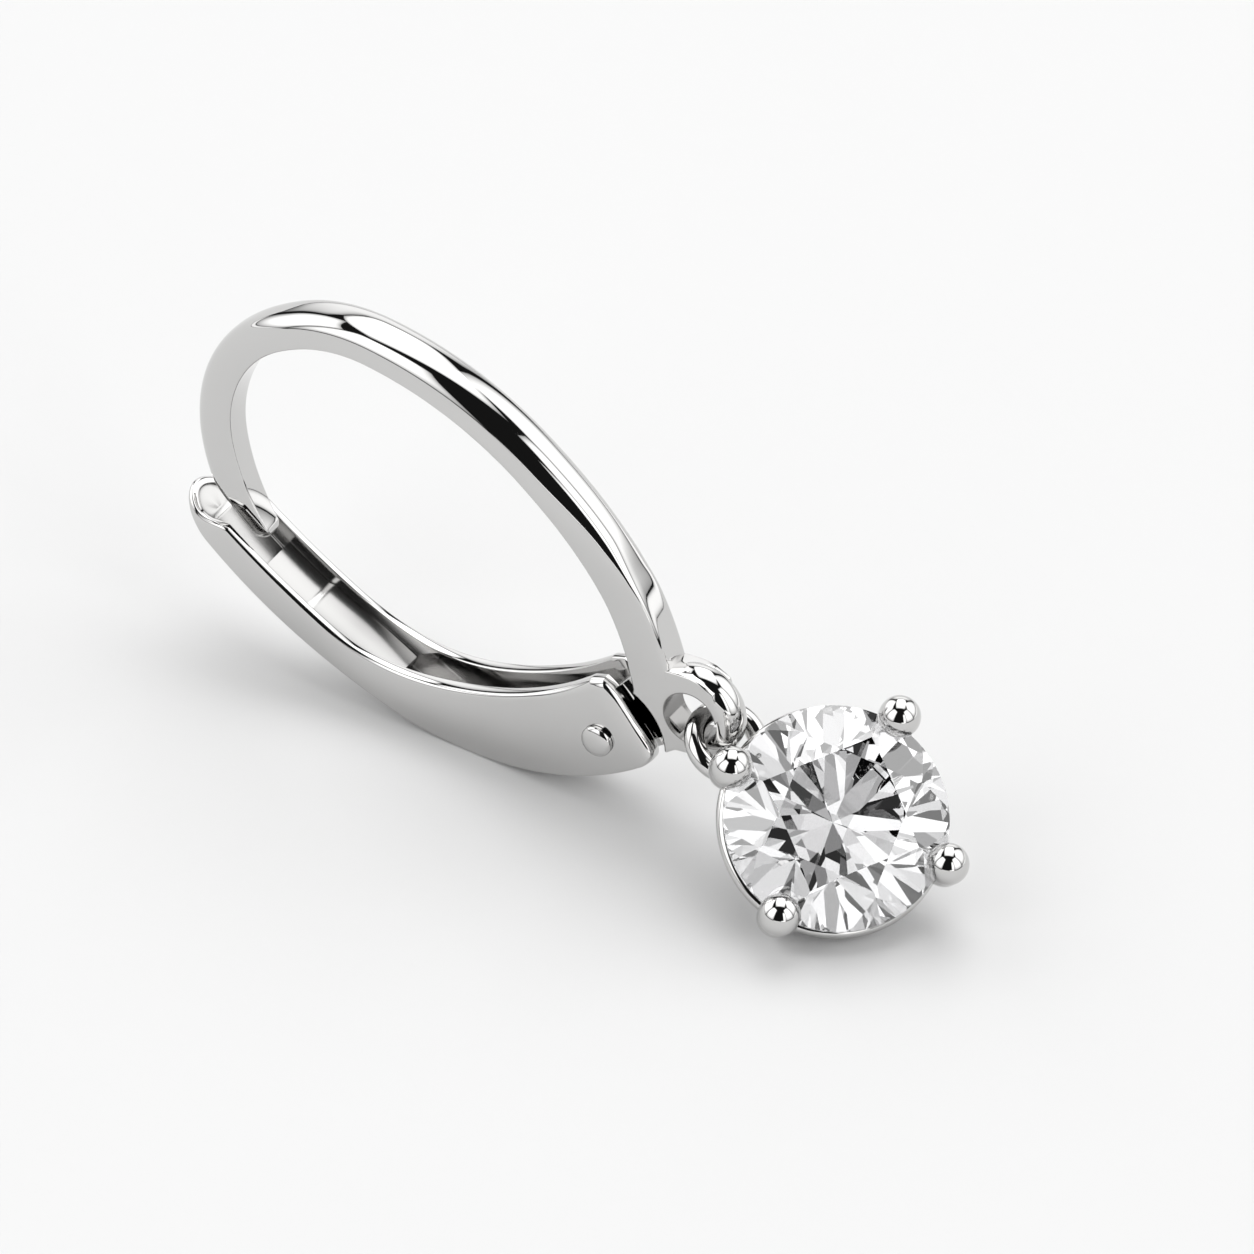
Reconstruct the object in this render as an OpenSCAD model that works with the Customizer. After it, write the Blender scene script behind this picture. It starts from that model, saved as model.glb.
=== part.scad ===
// Leverback earring with a round stone in a four prong drop, resting on the lever's belly and the drop.
// It is drawn in the hook's own frame: the hinge pin lies along Y at the origin, X runs up the loop
// and Z runs forward, away from the lever. set_down() then leans it to the way it rests.

/* [Ear hook] */
// Radius of the loop's inner line along the front limb
front_radius = 10.5; // [10.4:0.05:10.6]
// Turn of the front limb in degrees
front_turn = 69.5; // [69:0.1:70]
// Radius of the loop's inner line over the top
top_radius = 4; // [3.95:0.01:4.05]
// Turn of the top in degrees
top_turn = 108.4; // [108:0.1:109]
// Radius of the loop's inner line down the ear wire
back_radius = 7; // [6.8:0.1:7.2]
// Turn of the ear wire in degrees
back_turn = 26.4; // [25.5:0.1:26.8]
// Small bevel along the wire's inner edges
wire_bevel = 0.07; // [0.04:0.01:0.09]

/* [Eye] */
// Distance of the eye's centre in front of the hinge pin
eye_forward = 2.87; // [2.85:0.01:2.9]
// Distance of the eye's centre below the hinge pin
eye_drop = 1.41; // [1.39:0.01:1.43]
// Radius of the hole in the eye
eye_hole_r = 0.835; // [0.82:0.005:0.85]
// Outer radius of the eye
eye_outer_r = 1.45; // [1.43:0.01:1.46]
// Thickness of the eye and of the hook's foot
eye_thick = 1.04; // [1:0.01:1.06]

/* [Hinge] */
// Radius of the hinge pin's shank
pin_r = 0.3; // [0.28:0.01:0.32]
// Radial clearance of the pin in the hook's knuckle
pin_clearance = 0.04; // [0.02:0.01:0.06]
// Radius of the pin's heads
pin_head_r = 0.485; // [0.45:0.005:0.5]
// Height of the straight side of a pin head
pin_head_h = 0.1; // [0.08:0.01:0.12]
// Height of the dome on a pin head
pin_dome_h = 0.1; // [0.08:0.01:0.12]
// Radius of the hook's knuckle round the pin
knuckle_r = 0.8; // [0.75:0.01:0.84]
// Thickness of the knuckle between the lever's cheeks
knuckle_thick = 0.74; // [0.7:0.01:0.76]

/* [Lever] */
// Half width of the lever at the hinge
lever_half_w = 0.88; // [0.86:0.01:0.9]
// Half width of the lever along its free end
lever_end_half_w = 1.07; // [1.04:0.01:1.1]
// Thickness of the lever's cheeks at the hinge
cheek_t = 0.46; // [0.44:0.01:0.48]
// Thickness of the lever's wall along its free end
end_wall_t = 0.28; // [0.26:0.01:0.3]
// Thickness of the lever's back
back_t = 0.3; // [0.26:0.01:0.32]
// Radius about the pin that the hook's foot leaves free for the lever's cheeks
foot_clear_r = 1.95; // [1.9:0.01:2]
// Height of the raised plate on the floor of the lever
plate_h = 0.5; // [0.4:0.05:0.55]
// Distance from the lever's free end to the near end of the plate
plate_from = 3.2; // [3:0.1:3.4]
// Distance from the lever's free end to the far end of the plate
plate_to = 8; // [7.5:0.1:8.5]

/* [Jump ring] */
// Radius of the jump ring to the middle of its wire
ring_r = 0.95; // [0.94:0.01:0.96]
// Radius of the jump ring's wire
ring_wire_r = 0.28; // [0.26:0.01:0.28]

/* [Stone] */
// Diameter of the stone at its girdle
stone_d = 6.5; // [6.4:0.05:6.5]
// Table width as a share of the diameter
table_share = 0.56; // [0.54:0.01:0.6]
// Crown angle in degrees
crown_angle = 34.5; // [33:0.5:35]
// Pavilion angle in degrees
pavilion_angle = 41; // [40.5:0.1:41.5]
// Thickness of the girdle
girdle_t = 0.14; // [0.1:0.01:0.18]

/* [Setting] */
// Radius of the balls at the prong tips
ball_r = 0.61; // [0.58:0.01:0.63]
// Distance of the balls from the stone's axis
ball_out = 3.37; // [3.34:0.01:3.4]
// Height of the balls over the girdle
ball_up = 0.56; // [0.5:0.01:0.6]
// Radius of the shoulder under each ball
shoulder_r = 0.5; // [0.46:0.01:0.5]
// Radius of the prong legs
leg_r = 0.23; // [0.21:0.01:0.24]
// Radius of the gallery rail to the middle of its wire
rail_r = 3.13; // [3.11:0.01:3.15]
// Radius of the gallery rail's wire
rail_wire_r = 0.22; // [0.2:0.01:0.23]
// Radius of the base rail to the middle of its wire
base_rail_r = 1.45; // [1.4:0.01:1.5]
// Radius of the base rail's wire
base_rail_wire_r = 0.27; // [0.25:0.01:0.3]
// Radius of the bail to the middle of its wire
bail_r = 0.52; // [0.51:0.01:0.53]
// Radius of the bail's wire
bail_wire_r = 0.15; // [0.14:0.01:0.16]

/* [Hidden] */
$fn = 48;

metal = "gainsboro";
seat_gap = 0.02;

// How the earring rests: it leans about the pin's line until the belly and the drop both touch down
lean = 29.3;
rest_shift = [-1.3474, -0.5469, 2.4009];

// Where the drop's parts lie in the hook's frame
eye = [-eye_drop, 0, eye_forward];
ring_centre = eye + [-1.24, 0, -0.07];
ring_tilt = 13;
stone_centre = [-6.34, 0.42, 4.11];
stone_tilt = 30;
// Angles of the prongs about the stone's axis, and of the bail between two of them
prong_angles = [21.5, 103.3, 201.5, 283.3];
bail_angle = 6;
bail_centre = [2.76, -1.36];
base_rail_z = -2.2;

// A chain of arcs in the X Z plane: each arc is [radius, turn], a positive turn bends to the right
function right_of(h) = [sin(h), -cos(h)];
function arc_end(p, h, arc) = p + arc[0] * (right_of(h) - right_of(h - arc[1]));
function chain_point(p, h, arcs, s, k = 0) =
    let (arc = arcs[k], len = arc[0] * arc[1] * PI / 180)
    (s <= len || k == len(arcs) - 1)
    ? let (t = s / arc[0] * 180 / PI) [arc_end(p, h, [arc[0], t]), h - t]
    : chain_point(arc_end(p, h, arc), h - arc[1], arcs, s - len, k + 1);
function chain_length(arcs, k = 0) =
    k == len(arcs) ? 0 : arcs[k][0] * arcs[k][1] * PI / 180 + chain_length(arcs, k + 1);

// The loop's inner line, from the foot up the front limb, over the top and down the ear wire
hook_start = [0.36, 2.17];
hook_heading = 43.3;
hook_arcs = [[front_radius, front_turn], [top_radius, top_turn], [back_radius, back_turn]];
hook_len = chain_length(hook_arcs);
// Columns: distance along the line, half width, depth of the flat side, height of the dome
hook_table = [
    [0.4, 0.52, 1.2, 0.46],
    [2.5, 0.55, 0.93, 0.53],
    [4.5, 0.69, 0.6, 0.65],
    [7, 0.8, 0.33, 0.77],
    [10, 0.81, 0.29, 0.78],
    [13, 0.81, 0.26, 0.74],
    [15, 0.8, 0.34, 0.65],
    [17, 0.62, 0.56, 0.57],
    [19.5, 0.46, 0.77, 0.43],
    [21.5, 0.4, 0.8, 0.36],
    [22.5, 0.36, 0.62, 0.28],
    [hook_len - 0.15, 0.31, 0.4, 0.2],
    [hook_len, 0.22, 0.24, 0.14]
];
function column(table, k) = [for (row = table) [row[0], row[k]]];
half_w_col = column(hook_table, 1);
flat_col = column(hook_table, 2);
dome_col = column(hook_table, 3);

// One D shaped section as [across, outward] points
function wire_section(a, f, d, b) = concat(
    [[-a + b, 0], [a - b, 0], [a, b], [a, f]],
    [for (t = [18:18:162]) [a * cos(t), f + d * sin(t)]],
    [[-a, f], [-a, b]]);

module sweep(rings) {
    n = len(rings[0]);
    m = len(rings);
    points = [for (ring = rings) each ring];
    sides = [for (i = [0:m - 2], j = [0:n - 1])
        let (a = i * n + j, b = i * n + (j + 1) % n)
        each [[a, b + n, b], [a, a + n, b + n]]];
    polyhedron(points, concat([[for (j = [0:n - 1]) j]], sides, [[for (j = [n - 1:-1:0]) (m - 1) * n + j]]));
}

module limb() {
    first = hook_table[0][0];
    steps = 44;
    sweep([for (i = [0:steps])
        let (s = first + (hook_len - first) * i / steps,
            at = chain_point(hook_start, hook_heading, hook_arcs, s),
            out = -right_of(at[1]))
        [for (q = wire_section(lookup(s, half_w_col), lookup(s, flat_col), lookup(s, dome_col), wire_bevel))
            [at[0][0] + out[0] * q[1], q[0], at[0][1] + out[1] * q[1]]]]);
}

// Lays a shape drawn in X and Y into the hook's side plane, with its thickness along Y about the middle
module in_side_plane(thick) {
    translate([0, thick / 2, 0]) rotate([90, 0, 0]) linear_extrude(thick) children();
}

// Turns a shape spun about Z so that its axis is the pin's line
module along_pin() {
    rotate([90, 0, 0]) children();
}

module eye_ring() {
    a = eye_thick / 2;
    bevel = 0.08;
    crown = 0.42;
    translate(eye) along_pin() rotate_extrude($fn = 64)
        polygon(concat(
            [[eye_hole_r, -a + bevel], [eye_hole_r + bevel, -a]],
            [for (t = [-90:18:90]) [eye_outer_r - crown + crown * cos(t), a * sin(t)]],
            [[eye_hole_r + bevel, a], [eye_hole_r, a - bevel]]));
}

// The hook's foot joins the front limb, the eye and the knuckle
foot_outline = [[0.3, 2.12], [0.9, 2.67], [-0.28, 3.8], [-0.9, 4.15], [-1.41, 4.2], [-2.05, 3.7],
    [-2.05, 1.8], [-1.75, 1.55], [-1.62, 1.2], [0, 1.8]];
neck_outline = [[-0.78, 0.1], [0.78, 0.15], [0.62, 2.3], [-1.5, 2.1], [-1.3, 1.5]];

module ear_hook() color(metal) {
    difference() {
        union() {
            limb();
            eye_ring();
            in_side_plane(eye_thick) polygon(foot_outline);
            in_side_plane(knuckle_thick) {
                circle(knuckle_r);
                polygon(neck_outline);
            }
        }
        // The eye's hole and the knuckle's bore
        translate(eye) along_pin() cylinder(r = eye_hole_r, h = 4, center = true, $fn = 64);
        along_pin() cylinder(r = pin_r + pin_clearance, h = 4, center = true);
        // Room for the lever's cheeks to turn past the foot
        for (side = [-1, 1])
            translate([0, side * (knuckle_thick / 2 + 1), 0]) along_pin()
                cylinder(r = foot_clear_r, h = 2, center = true, $fn = 96);
    }
}

// The lever's outer line runs from the free end along the back to the hinge end
lever_start = [13.3, -5.15];
lever_heading = 192.6;
lever_arcs = [[17.2, 21.3], [58.2, 2], [8.41, 57.8], [0.9, 12]];
// The rim runs from the free end to the corner of the cheeks
rim_start = [11.7, -4.47];
rim_heading = 184;
rim_arcs = [[26.7, 8.4], [6.28, 36.6], [9.12, 33]];

function chain_points(p, h, arcs, from, to, steps, inset = 0) = [for (i = [0:steps])
    let (at = chain_point(p, h, arcs, from + (to - from) * i / steps))
    at[0] + inset * right_of(at[1])];
function reversed(list) = [for (i = [len(list) - 1:-1:0]) list[i]];

lip_points = [[12, -4.6], [12.35, -4.86], [12.75, -5], [13.32, -4.98]];
hinge_end_points = [[-1.48, 0.6], [-1.52, 0.85], [-1.42, 1.06], [-1.2, 1.19], [-0.93, 1.28], [-0.47, 1.42],
    [-0.15, 1.53], [0.25, 1.65], [0.56, 1.73], [0.9, 1.76], [1.16, 1.75]];
lever_len = chain_length(lever_arcs);
lever_profile = concat(
    chain_points(lever_start, lever_heading, lever_arcs, 0, lever_len, 26),
    hinge_end_points,
    reversed(chain_points(rim_start, rim_heading, rim_arcs, 0, chain_length(rim_arcs), 18)), lip_points);
// The channel stops short of the hinge end, so that the knuckle and its neck can swing in the slot
channel_len = lever_len - 1.15;
lever_hollow = concat([[14, -4.7]],
    chain_points(lever_start, lever_heading, lever_arcs, 0, channel_len, 26, back_t),
    [[-2.6, -1.4], [-3, 4], [3, 4], [14, -3]]);

// The lever's plan outline widens from the cheeks to the free end, which is rounded
widen_from = 2.5;
widen_to = 7;
round_from = 11.8;
round_len = 1.5;
function plan_half(inset_hinge, inset_end) =
    let (hinge_w = lever_half_w - inset_hinge, end_w = lever_end_half_w - inset_end)
    concat([[-3, hinge_w], [widen_from, hinge_w], [widen_to, end_w], [round_from, end_w]],
        [for (t = [15:15:90]) [round_from + (round_len - inset_end) * sin(t), end_w * cos(t)]]);
module plan(inset_hinge, inset_end) {
    half = plan_half(inset_hinge, inset_end);
    translate([0, 0, -8]) linear_extrude(16)
        polygon(concat(half, [for (q = reversed(half)) [q[0], -q[1]]]));
}

module lever() color(metal) {
    difference() {
        intersection() {
            in_side_plane(4) polygon(lever_profile);
            plan(0, 0);
        }
        difference() {
            intersection() {
                in_side_plane(3) polygon(lever_hollow);
                plan(cheek_t, end_wall_t);
            }
            // Raised plate on the floor of the channel
            intersection() {
                in_side_plane(3) polygon(concat(
                    chain_points(lever_start, lever_heading, lever_arcs, plate_from, plate_to, 12, back_t - 0.1),
                    reversed(chain_points(lever_start, lever_heading, lever_arcs, plate_from, plate_to, 12,
                        back_t + plate_h))));
                plan(cheek_t, end_wall_t);
            }
        }
        along_pin() cylinder(r = pin_r + seat_gap, h = 4, center = true);
    }
}

module hinge_pin() color("silver") {
    shank = 2 * (lever_half_w + seat_gap);
    dome_r = (pin_head_r * pin_head_r + pin_dome_h * pin_dome_h) / (2 * pin_dome_h);
    along_pin() {
        cylinder(r = pin_r, h = shank + 0.02, center = true);
        for (side = [0, 1]) mirror([0, 0, side]) translate([0, 0, shank / 2]) {
            cylinder(r = pin_head_r, h = pin_head_h);
            intersection() {
                translate([0, 0, pin_head_h + pin_dome_h - dome_r]) sphere(r = dome_r, $fn = 96);
                cylinder(r = pin_head_r, h = 1);
            }
        }
    }
}

module jump_ring() color("silver") {
    translate(ring_centre) rotate([-ring_tilt, 0, 0])
        rotate_extrude($fn = 64) translate([ring_r, 0]) circle(ring_wire_r);
}

// The drop is drawn about the stone's axis with the girdle at Z = 0
module at_stone() {
    translate(stone_centre) rotate([-stone_tilt, 0, 0]) children();
}

// Radii and heights of the stone's corners
stone_r = stone_d / 2;
girdle_z = girdle_t / 2;
table_r = stone_r * table_share;
table_z = girdle_z + (stone_r - table_r) * tan(crown_angle);
star_r = stone_r * 0.8;
star_z = girdle_z + (stone_r - star_r * cos(22.5)) * tan(crown_angle);
lower_r = stone_r * 0.2;
lower_z = -girdle_z - (stone_r - lower_r * cos(22.5)) * tan(pavilion_angle);
culet_z = -girdle_z - stone_r * tan(pavilion_angle);

// A round brilliant: table, star, kite and girdle facets over mains and lower girdle facets
module brilliant() {
    function ring(rad, z, phase) = [for (k = [0:7]) [rad * cos(45 * k + phase), rad * sin(45 * k + phase), z]];
    points = concat(ring(table_r, table_z, 0), ring(star_r, star_z, 22.5),
        ring(stone_r, girdle_z, 0), ring(stone_r, girdle_z, 22.5),
        ring(stone_r, -girdle_z, 0), ring(stone_r, -girdle_z, 22.5),
        ring(lower_r, lower_z, 22.5), [[0, 0, culet_z]]);
    // Index of corner k in one of the rings of eight, in the order they are listed above
    function at(list, k) = 8 * list + (k + 8) % 8;
    faces = concat([[for (k = [7:-1:0]) k]], [for (k = [0:7]) each [
        [at(0, k), at(0, k + 1), at(1, k)],
        [at(0, k), at(1, k), at(2, k), at(1, k - 1)],
        [at(1, k), at(3, k), at(2, k)],
        [at(1, k), at(2, k + 1), at(3, k)],
        [at(2, k), at(3, k), at(5, k), at(4, k)],
        [at(3, k), at(2, k + 1), at(4, k + 1), at(5, k)],
        [at(4, k), at(5, k), at(6, k)],
        [at(5, k), at(4, k + 1), at(6, k)],
        [at(6, k - 1), at(4, k), at(6, k), 56]]]);
    polyhedron(points, faces);
}

module stone() color("lightcyan") {
    at_stone() brilliant();
}

// The seat cut for the stone, a hair larger than its corners all round
module stone_seat() {
    g = seat_gap;
    rotate_extrude($fn = 64) polygon([[0, culet_z - 2 * g], [lower_r + g, lower_z - g],
        [stone_r + g, -girdle_z - g / 2], [stone_r + g, girdle_z + g / 2],
        [star_r + g, star_z + g], [table_r + g, table_z + g], [0, table_z + g]]);
}

// A straight round bar between two points
module bar(from, to, r) {
    d = to - from;
    flat = norm([d[0], d[1]]);
    translate(from) rotate([0, atan2(flat, d[2]), atan2(d[1], d[0])]) cylinder(r = r, h = norm(d), $fn = 24);
}

module prong() {
    shoulder = [ball_out - 0.04, 0, -0.3];
    knee = [2.95, 0, -0.62];
    waist = [2.28, 0, -1.25];
    foot = [base_rail_r + 0.02, 0, base_rail_z + 0.03];
    joint_r = leg_r + 0.02;
    translate([ball_out, 0, ball_up]) sphere(ball_r);
    bar(shoulder, [ball_out, 0, ball_up], shoulder_r);
    translate(shoulder) sphere(shoulder_r + 0.02);
    bar(shoulder, knee, leg_r);
    translate(knee) sphere(joint_r, $fn = 24);
    bar(knee, waist, leg_r);
    translate(waist) sphere(joint_r, $fn = 24);
    bar(waist, foot, leg_r);
}

module wire_ring(r, wire_r, z) {
    translate([0, 0, z]) rotate_extrude($fn = 64) translate([r, 0]) circle(wire_r, $fn = 24);
}

module setting() color(metal) {
    at_stone() difference() {
        union() {
            for (angle = prong_angles) rotate([0, 0, angle]) prong();
            wire_ring(rail_r, rail_wire_r, -0.6);
            wire_ring(base_rail_r, base_rail_wire_r, base_rail_z);
            rotate([0, 0, bail_angle]) translate([bail_centre[0], 0, bail_centre[1]])
                rotate([90, 0, 0]) wire_ring(bail_r, bail_wire_r, 0);
        }
        stone_seat();
    }
}

module set_down() {
    translate(rest_shift) rotate([0, -lean, 0]) children();
}

set_down() ear_hook();
set_down() lever();
set_down() hinge_pin();
set_down() jump_ring();
set_down() setting();
set_down() stone();
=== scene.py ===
import bpy
import bmesh
import math
from mathutils import Matrix, Vector


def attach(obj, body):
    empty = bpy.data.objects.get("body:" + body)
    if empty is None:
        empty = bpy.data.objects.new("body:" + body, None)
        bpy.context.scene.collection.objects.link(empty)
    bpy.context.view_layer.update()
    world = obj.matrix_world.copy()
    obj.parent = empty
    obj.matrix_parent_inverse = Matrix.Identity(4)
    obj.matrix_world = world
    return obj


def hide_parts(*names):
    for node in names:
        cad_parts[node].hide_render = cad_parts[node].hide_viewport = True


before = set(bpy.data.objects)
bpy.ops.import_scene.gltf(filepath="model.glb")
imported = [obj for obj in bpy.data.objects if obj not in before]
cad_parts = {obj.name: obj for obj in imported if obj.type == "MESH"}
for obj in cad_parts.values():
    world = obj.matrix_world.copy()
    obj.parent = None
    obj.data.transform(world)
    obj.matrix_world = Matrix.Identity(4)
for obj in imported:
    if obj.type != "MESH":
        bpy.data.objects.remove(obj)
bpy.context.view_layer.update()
print("frame loaded:", sorted(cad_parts))

# Everything is drawn in millimetres in the hook's own frame: the pin lies along Y at the origin,
# and X runs up the loop.
rest = {"lean": 29.3, "shift": (-1.3474, -0.5469, 2.4009), "unit": 0.001}
placing = (Matrix.Scale(rest["unit"], 4) @ Matrix.Translation(rest["shift"])
           @ Matrix.Rotation(math.radians(-rest["lean"]), 4, "Y"))
drop = {"centre": (-6.34, 0.42, 4.11), "tilt": -30}


def hung(part):
    # the frame of a loose part: its centre, and its tilt about X
    return (placing @ Matrix.Translation(part["centre"])
            @ Matrix.Rotation(math.radians(part["tilt"]), 4, "X"))


dropPlacing = hung(drop)


# node helpers
class Nodes:
    # adds nodes to a tree: type, settings first, then values or links of its sockets
    def __init__(self, tree):
        self.tree = tree

    def add(self, kind, settings=None, **sockets):
        node = self.tree.nodes.new(kind)
        for name, value in (settings or {}).items():
            if name == "stops":
                ramp = node.color_ramp
                while len(ramp.elements) < len(value):
                    ramp.elements.new(1)
                for stop, (place, shade) in zip(ramp.elements, value):
                    stop.position = place
                    stop.color = (shade, shade, shade, 1)
            else:
                setattr(node, name, value)
        for name, value in sockets.items():
            # i0 and i1 count the sockets, other names spell them with _ for a space
            byNumber = name[0] == "i" and name[1:].isdigit()
            key = int(name[1:]) if byNumber else name.replace("_", " ")
            self.plug(node.inputs[key], value)
        return node

    def plug(self, socket, value):
        if isinstance(value, Wire):
            value = value.socket
        if isinstance(value, bpy.types.NodeSocket):
            self.tree.links.new(value, socket)
        elif value is not None:
            socket.default_value = value


class Wire:
    # a value in a node tree that takes part in plain sums
    def __init__(self, nodes, socket):
        self.nodes = nodes
        self.socket = socket

    def sum(self, operation, first, second):
        node = self.nodes.add("ShaderNodeMath", {"operation": operation}, i0=first, i1=second)
        return Wire(self.nodes, node.outputs[0])

    def __add__(self, other): return self.sum("ADD", self, other)
    def __radd__(self, other): return self.sum("ADD", other, self)
    def __sub__(self, other): return self.sum("SUBTRACT", self, other)
    def __rsub__(self, other): return self.sum("SUBTRACT", other, self)
    def __mul__(self, other): return self.sum("MULTIPLY", self, other)
    def __rmul__(self, other): return self.sum("MULTIPLY", other, self)
    def __gt__(self, other): return self.sum("GREATER_THAN", self, other)
    def __pow__(self, other): return self.sum("POWER", self, other)


def emptyTree(owner):
    owner.use_nodes = True
    owner.node_tree.nodes.clear()
    return Nodes(owner.node_tree)


def startMaterial(name):
    material = bpy.data.materials.new(name)
    nodes = emptyTree(material)
    return material, nodes, nodes.add("ShaderNodeTexCoord").outputs["Object"]


# materials
polish = {
    "cloudScale": 420, "hairTurn": (0.3, 0.5, 0.2), "hairScale": (900, 7000, 5000),
    "markFrom": 0.66, "shade": 0.965, "cloudRoughness": 0.02, "bump": 0.02, "bumpDepth": 0.00002,
    "recessShade": (0.2, 0.197, 0.193),  # the dark grey painted as shade into the channel and onto the eye's wall
    "channelShade": 0.4, "wellShade": 0.85, "wellRoughness": 0.18,
}


def mixColours(nodes, share, first, second):
    blend = nodes.add("ShaderNodeMix", {"data_type": "RGBA"}, i0=share)
    nodes.plug(blend.inputs[6], first)
    nodes.plug(blend.inputs[7], second)
    return blend.outputs[2]


def noise(nodes, place, **settings):
    node = nodes.add("ShaderNodeTexNoise", None, Vector=place, **settings)
    return Wire(nodes, node.outputs["Fac"])


def polishedMetal(name, colour, dull, wear, inside=None, well=None):
    # mirror polish: faint cloudiness in the rhodium and hairline polishing marks, and painted
    # shade that darkens the channel and the eye's wall; dull: its roughness, wear: what the marks
    # add,
    # inside: what the channel adds to the roughness, well: x, z and radius of the eye's wall
    material, nodes, place = startMaterial(name)
    cloud = noise(nodes, place, Scale=polish["cloudScale"], Detail=3, Roughness=0.5)
    stretched = nodes.add("ShaderNodeMapping", None, Vector=place, Rotation=polish["hairTurn"],
                          Scale=polish["hairScale"]).outputs["Vector"]
    hair = noise(nodes, stretched, Scale=1, Detail=2, Roughness=0.6)
    marks = (hair > polish["markFrom"]) * cloud
    shade = mixColours(nodes, cloud * 0.8 + marks * 0.2, (*colour, 1),
                       (*[c * polish["shade"] for c in colour], 1))
    rough = cloud * polish["cloudRoughness"] + marks * wear + dull
    shadeGrey = (*polish["recessShade"], 1)
    if inside:  # painted shade: the channel is darkened towards a dark grey, and made rougher
        reach = nodes.add("ShaderNodeAttribute", {"attribute_name": "inside"}).outputs["Fac"]
        reach = Wire(nodes, reach)
        rough = rough + reach * inside
        shade = mixColours(nodes, reach * polish["channelShade"], shade, shadeGrey)
    if well:  # painted shade: the eye's wall is darkened towards a dark grey, and made rougher
        x, _, z = (Wire(nodes, out)
                   for out in nodes.add("ShaderNodeSeparateXYZ", None, Vector=place).outputs)
        away = ((x - well[0]) * (x - well[0]) + (z - well[1]) * (z - well[1])) ** 0.5
        wall = 1 - (away > well[2])
        rough = rough + wall * polish["wellRoughness"]
        shade = mixColours(nodes, wall * polish["wellShade"], shade, shadeGrey)
    bump = nodes.add("ShaderNodeBump", None, Height=cloud * 0.6 + hair * 0.06,
                     Strength=polish["bump"], Distance=polish["bumpDepth"])
    shader = nodes.add("ShaderNodeBsdfPrincipled", None, Base_Color=shade, Metallic=1.0,
                       Roughness=rough, Normal=bump.outputs[0])
    nodes.add("ShaderNodeOutputMaterial", None, Surface=shader.outputs[0])
    return material


clear = {"scale": 300, "shade": 0.985, "roughness": 0.004, "index": 2.42}


def clearStone(name, colour):
    # clear cut stone: colourless, with the faintest unevenness of tint and polish
    material, nodes, place = startMaterial(name)
    cloud = noise(nodes, place, Scale=clear["scale"], Detail=2, Roughness=0.5)
    tint = mixColours(nodes, cloud, (*colour, 1), (*[c * clear["shade"] for c in colour], 1))
    shader = nodes.add("ShaderNodeBsdfPrincipled", None, Base_Color=tint, Metallic=0.0,
                       Roughness=cloud * clear["roughness"], IOR=clear["index"],
                       Transmission_Weight=1.0)
    nodes.add("ShaderNodeOutputMaterial", None, Surface=shader.outputs[0])
    return material


eye = {"centre": (-1.41, 2.87), "hole": 0.835, "outer": 1.49, "half": 0.53, "crown": 0.46,
       "bevel": 0.13, "wellReach": 0.035}
eyeAt = placing @ Vector((eye["centre"][0], 0, eye["centre"][1]))
eyeWell = (eyeAt[0], eyeAt[2], (eye["hole"] + eye["wellReach"]) * rest["unit"])
whiteMetal = (0.62, 0.616, 0.61)
metals = {
    "hook": polishedMetal("polished hook metal", whiteMetal, 0.02, 0.05, well=eyeWell),
    "lever": polishedMetal("polished lever metal", whiteMetal, 0.025, 0.06, 0.2),
    "pin": polishedMetal("polished pin metal", whiteMetal, 0.03, 0.06),
    "ring": polishedMetal("polished ring metal", (0.64, 0.636, 0.63), 0.02, 0.05),
    "setting": polishedMetal("polished setting metal", whiteMetal, 0.02, 0.04),
}
gem = clearStone("clear stone", (0.99, 0.99, 1.0))
print("materials made")


# mesh helpers
def rightOf(heading):
    return Vector((math.sin(math.radians(heading)), -math.cos(math.radians(heading))))


def chainLength(arcs):
    return sum(math.radians(turn) * radius for radius, turn in arcs)


def chainPoint(chain, distance):
    # a point on a chain of arcs, and the heading there
    place, heading = Vector(chain["start"]), chain["heading"]
    for k, (radius, turn) in enumerate(chain["arcs"]):
        length = math.radians(turn) * radius
        last = k == len(chain["arcs"]) - 1
        used = distance if last else min(distance, length)
        bend = math.degrees(used / radius)
        place = place + radius * (rightOf(heading) - rightOf(heading - bend))
        heading -= bend
        if distance <= length or last:
            return place, heading
        distance -= length


def smoothColumn(table, column, x):
    # a smooth curve through one column of a table, without overshoot
    xs = [row[0] for row in table]
    ys = [row[column] for row in table]
    if x <= xs[0]:
        return ys[0]
    if x >= xs[-1]:
        return ys[-1]
    slopes = [(ys[k + 1] - ys[k]) / (xs[k + 1] - xs[k]) for k in range(len(xs) - 1)]
    tangents = [slopes[0]]
    for before, after in zip(slopes, slopes[1:]):
        tangents.append(0 if before * after <= 0 else 2 * before * after / (before + after))
    tangents.append(slopes[-1])
    k = max(j for j in range(len(xs) - 1) if xs[j] <= x)
    width = xs[k + 1] - xs[k]
    t = (x - xs[k]) / width
    return ((2 * t ** 3 - 3 * t * t + 1) * ys[k] + (t ** 3 - 2 * t * t + t) * width * tangents[k]
            + (3 * t * t - 2 * t ** 3) * ys[k + 1] + (t ** 3 - t * t) * width * tangents[k + 1])


def tubeFaces(rings, size, closed=False, capped=False):
    # the faces between rings of points, a closed tube's last ring meeting its first
    faces = []
    for i in range(rings if closed else rings - 1):
        for j in range(size):
            here, there = i * size, (i + 1) % rings * size
            faces.append((here + j, here + (j + 1) % size, there + (j + 1) % size, there + j))
    if capped:
        faces += [tuple(range(size - 1, -1, -1)), tuple(range((rings - 1) * size, rings * size))]
    return faces


def rawMesh(name, points, faces):
    mesh = bpy.data.meshes.new(name)
    mesh.from_pydata([tuple(p) for p in points], [], faces)
    mesh.validate()
    return mesh


def rawObject(name, data):
    thing = bpy.data.objects.new(name, data)
    bpy.context.scene.collection.objects.link(thing)
    return thing


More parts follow.
